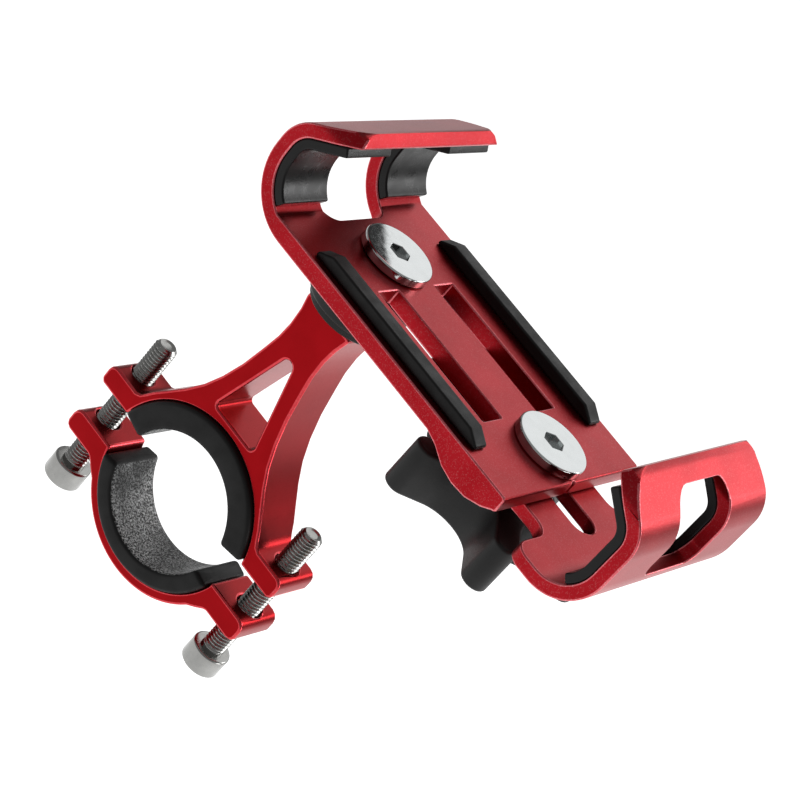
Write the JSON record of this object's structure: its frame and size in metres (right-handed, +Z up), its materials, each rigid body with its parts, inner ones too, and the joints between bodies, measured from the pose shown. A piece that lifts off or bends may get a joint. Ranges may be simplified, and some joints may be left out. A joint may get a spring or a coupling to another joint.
{
  "type": "phone handlebar mount",
  "caption": "Split clamp for a handlebar with an arm, a swivelling plate with a fixed hook, and a sliding hooked jaw locked by a star knob, to hold a phone.",
  "frame": {"origin": "centre of the handlebar bore, on the middle plane of the clamp", "axes": "+X along the handlebar, +Z up the arm towards the phone, +Y towards the fixed hook and -Y towards the sliding jaw"},
  "size_m": [0.0484, 0.1071, 0.1144],
  "materials": {
    "red_satin": "red anodised, satin",
    "red_blasted": "red anodised over fine bead blasting, sparkling",
    "black_rubber": "matt moulded rubber",
    "chrome": "polished",
    "bright_steel": "bright zinc plate",
    "black_plastic": "moulded, satin",
    "brass": "turned"
  },
  "bodies": {
    "arm": {"upper_clamp_arm": "red_satin", "upper_clamp_pad": "black_rubber", "swivel_disc": "black_plastic", "swivel_screw": "chrome"},
    "lower_clamp": {"lower_clamp": "red_satin", "lower_clamp_pad": "black_rubber"},
    "screw_a": {"clamp_screw_a": "bright_steel"},
    "screw_b": {"clamp_screw_b": "bright_steel"},
    "holder": {"holder_plate": "red_blasted", "rest_strip_left": "black_rubber", "rest_strip_right": "black_rubber", "hook_pad_left": "black_rubber", "hook_pad_right": "black_rubber", "jaw_screw": "chrome"},
    "jaw": {"sliding_jaw": "red_blasted", "jaw_pad_left": "black_rubber", "jaw_pad_right": "black_rubber"},
    "washer": {"knob_washer": "bright_steel"},
    "knob": {"knob": "black_plastic", "knob_insert": "brass"}
  },
  "joints": [
    {"name": "clamp_close", "type": "slide", "parent": "arm", "child": "lower_clamp", "axis": [0, 0, 1], "range_m": [-0.004, 0.0076]},
    {"name": "screw_a_slide", "type": "slide", "parent": "arm", "child": "screw_a", "axis": [0, 0, 1], "range_m": [-0.0081, 0.0153]},
    {"name": "screw_b_slide", "type": "slide", "parent": "arm", "child": "screw_b", "axis": [0, 0, 1], "range_m": [-0.0081, 0.0153]},
    {"name": "holder_swivel", "type": "hinge", "parent": "arm", "child": "holder", "pos_m": [0, 0, 0.067], "axis": [0, 0, 1], "continuous": true},
    {"name": "jaw_slide", "type": "slide", "parent": "holder", "child": "jaw", "axis": [0, -1, 0], "range_m": [-0.006, 0.0185]},
    {"name": "washer_slide", "type": "slide", "parent": "holder", "child": "washer", "axis": [0, 0, -1], "range_m": [0, 0.0016]},
    {"name": "knob_turn", "type": "hinge", "parent": "washer", "child": "knob", "pos_m": [0, -0.047, 0.054], "axis": [0, 0, -1], "range_deg": [0, 720]}
  ],
  "couplings": [
    {"joint": "screw_a_slide", "follows": "clamp_close", "ratio": 2},
    {"joint": "screw_b_slide", "follows": "clamp_close", "ratio": 2}
  ]
}
